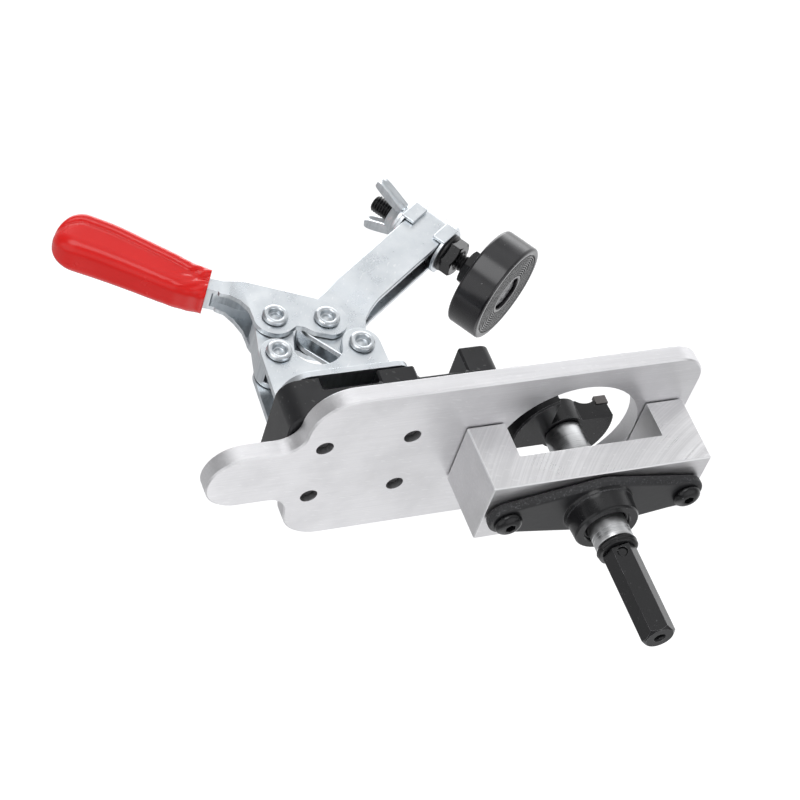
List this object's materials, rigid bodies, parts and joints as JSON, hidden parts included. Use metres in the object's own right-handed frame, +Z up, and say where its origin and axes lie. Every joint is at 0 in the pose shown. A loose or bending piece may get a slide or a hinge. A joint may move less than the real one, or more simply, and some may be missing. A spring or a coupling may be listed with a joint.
{
  "type": "cup-hinge boring jig",
  "caption": "Drilling jig that clamps to a door panel by a toggle clamp and guides a flat-bottomed boring bit for a concealed cup hinge.",
  "frame": {"origin": "where the drill axis meets the underside of the base plate, the face that lies on the panel", "axes": "+Z up the drill axis towards its drive shank, +X along the plate away from the clamp, +Y across the plate"},
  "size_m": [0.1808, 0.065, 0.183],
  "materials": {
    "aluminium": "milled and lightly brushed, with fine tool marks",
    "zinc": "bright zinc plate on pressed steel",
    "ground_steel": "ground, satin",
    "black_cast": "black coating over a slightly grainy casting",
    "black_oxide": "black oxide, satin",
    "black_moulding": "smooth satin black",
    "rubber": "moulded black rubber",
    "vinyl": "dipped red vinyl, soft gloss",
    "carbide": "brazed carbide, dull grey"
  },
  "bodies": {
    "jig": {"base_plate": "aluminium", "guide_block": "aluminium", "guide_flange": "black_cast", "guide_sleeve": "black_oxide", "flange_screw_left": "black_oxide", "flange_screw_right": "black_oxide", "block_screw_la": "black_oxide", "block_screw_lb": "black_oxide", "block_screw_ra": "black_oxide", "block_screw_rb": "black_oxide", "fence_bracket": "black_moulding", "clamp_screw_back_l": "black_oxide", "clamp_screw_back_r": "black_oxide", "clamp_screw_front_l": "black_oxide", "clamp_screw_front_r": "black_oxide", "clamp_base_front": "zinc", "clamp_base_rear": "zinc", "rivet_a": "zinc", "rivet_b": "zinc"},
    "arm": {"clamp_arm": "zinc"},
    "handle": {"handle_lever": "zinc", "handle_grip": "vinyl", "rivet_c": "zinc", "rivet_d": "zinc"},
    "link": {"toggle_link": "zinc"},
    "carriage": {"washer_upper": "zinc", "washer_lower": "zinc"},
    "wing_nut": {"wing_nut": "zinc"},
    "jam_nut": {"jam_nut": "black_oxide"},
    "spindle": {"spindle": "black_oxide", "neck_nut": "black_oxide", "pad": "rubber"},
    "collar": {"stop_collar": "black_oxide"},
    "bit": {"bit_head": "black_oxide", "bit_shank": "ground_steel", "hex_shank": "black_oxide", "blade_a": "carbide", "blade_b": "carbide", "spur_a": "carbide", "spur_b": "carbide", "set_screw": "black_oxide"}
  },
  "joints": [
    {"name": "arm_swing", "type": "hinge", "parent": "jig", "child": "arm", "pos_m": [-0.0562, 0, -0.0352], "axis": [0, 1, 0], "range_deg": [-33.5, 16]},
    {"name": "handle_swing", "type": "hinge", "parent": "arm", "child": "handle", "pos_m": [-0.0641, 0, -0.0466], "axis": [0, 1, 0], "range_deg": [-28.5, 59.5]},
    {"name": "link_swing", "type": "hinge", "parent": "jig", "child": "link", "pos_m": [-0.0838, 0, -0.0356], "axis": [0, 1, 0], "range_deg": [-31.2, 15]},
    {"name": "carriage_slide", "type": "slide", "parent": "arm", "child": "carriage", "axis": [0.8241, 0, -0.5664], "range_m": [-0.006, 0.003]},
    {"name": "spindle_lift", "type": "slide", "parent": "carriage", "child": "spindle", "axis": [0.5664, 0, 0.8241], "range_m": [-0.003, 0.0015]},
    {"name": "wing_nut_spin", "type": "hinge", "parent": "carriage", "child": "wing_nut", "pos_m": [-0.02197, 0, -0.09027], "axis": [0.5664, 0, 0.8241], "continuous": true},
    {"name": "jam_nut_spin", "type": "hinge", "parent": "carriage", "child": "jam_nut", "pos_m": [-0.00923, 0, -0.07173], "axis": [0.5664, 0, 0.8241], "continuous": true},
    {"name": "bit_slide", "type": "slide", "parent": "jig", "child": "collar", "axis": [0, 0, 1], "range_m": [-0.0064, 0.014]},
    {"name": "bit_spin", "type": "hinge", "parent": "collar", "child": "bit", "pos_m": [0, 0, 0.03], "axis": [0, 0, 1], "continuous": true}
  ],
  "couplings": [
    {"joint": "handle_swing", "follows": "arm_swing", "ratio": -1.76},
    {"joint": "link_swing", "follows": "arm_swing", "ratio": 0.92}
  ]
}
